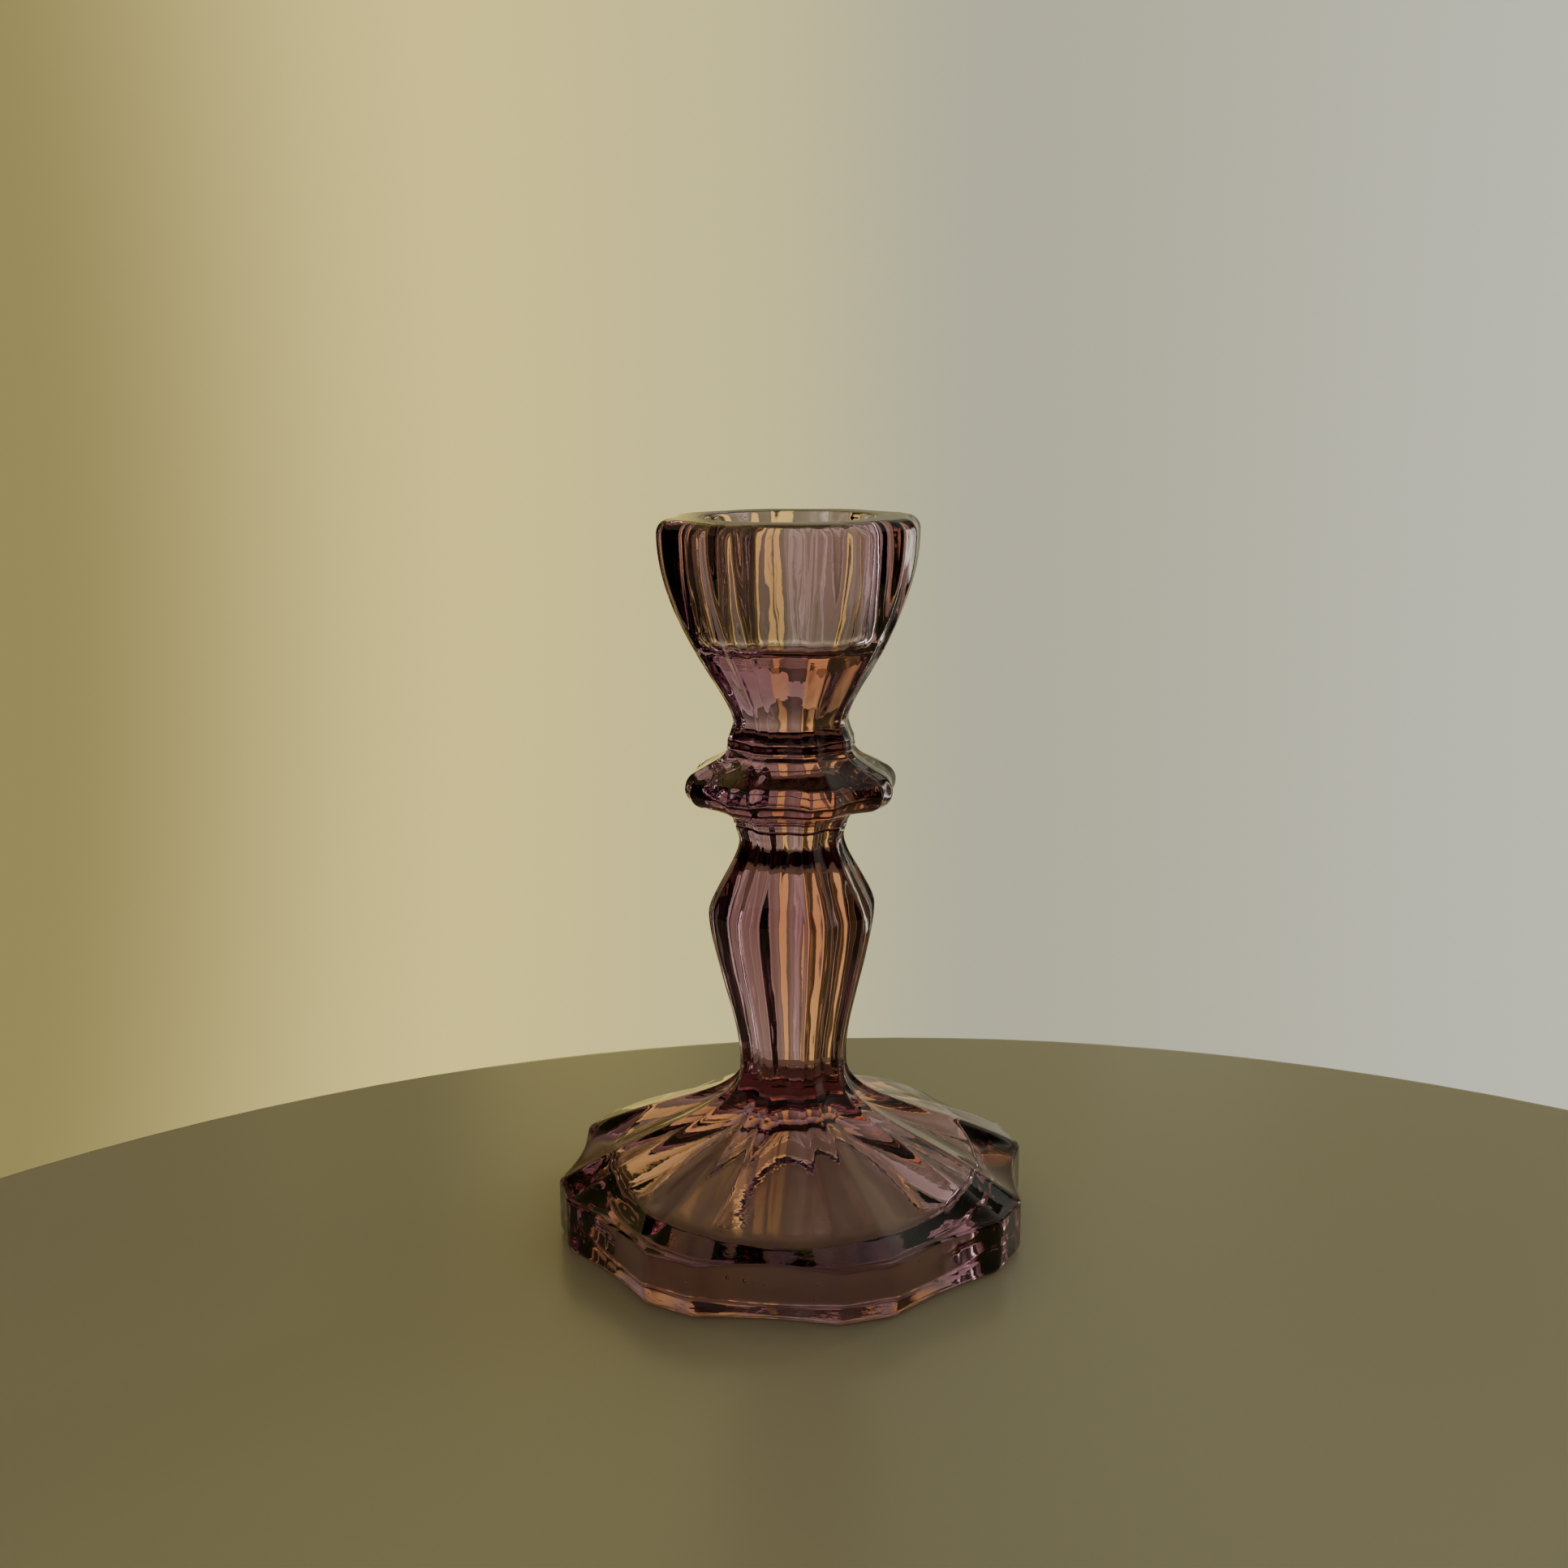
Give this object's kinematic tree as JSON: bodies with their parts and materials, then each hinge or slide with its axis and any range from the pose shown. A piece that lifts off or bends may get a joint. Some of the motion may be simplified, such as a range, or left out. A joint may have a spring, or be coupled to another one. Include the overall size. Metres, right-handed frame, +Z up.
{
  "type": "glass candlestick",
  "caption": "Fluted glass candlestick with a scalloped hollow foot, baluster stem, lobed knop and a bell-shaped cup with a socket for one taper candle.",
  "frame": {"origin": "centre of the foot on the surface that the candlestick stands on", "axes": "+Z up along the candlestick's axis, -Y through the middle of one wide flute"},
  "size_m": [0.065, 0.065, 0.1],
  "materials": {
    "amethyst_glass": "fire-polished clear pressed glass, tinted pale amethyst, with faint waves from the mould"
  },
  "bodies": {
    "root": {"foot": "amethyst_glass", "stem": "amethyst_glass", "lower_collar": "amethyst_glass", "knop": "amethyst_glass", "upper_collar": "amethyst_glass", "cup": "amethyst_glass"}
  },
  "joints": []
}
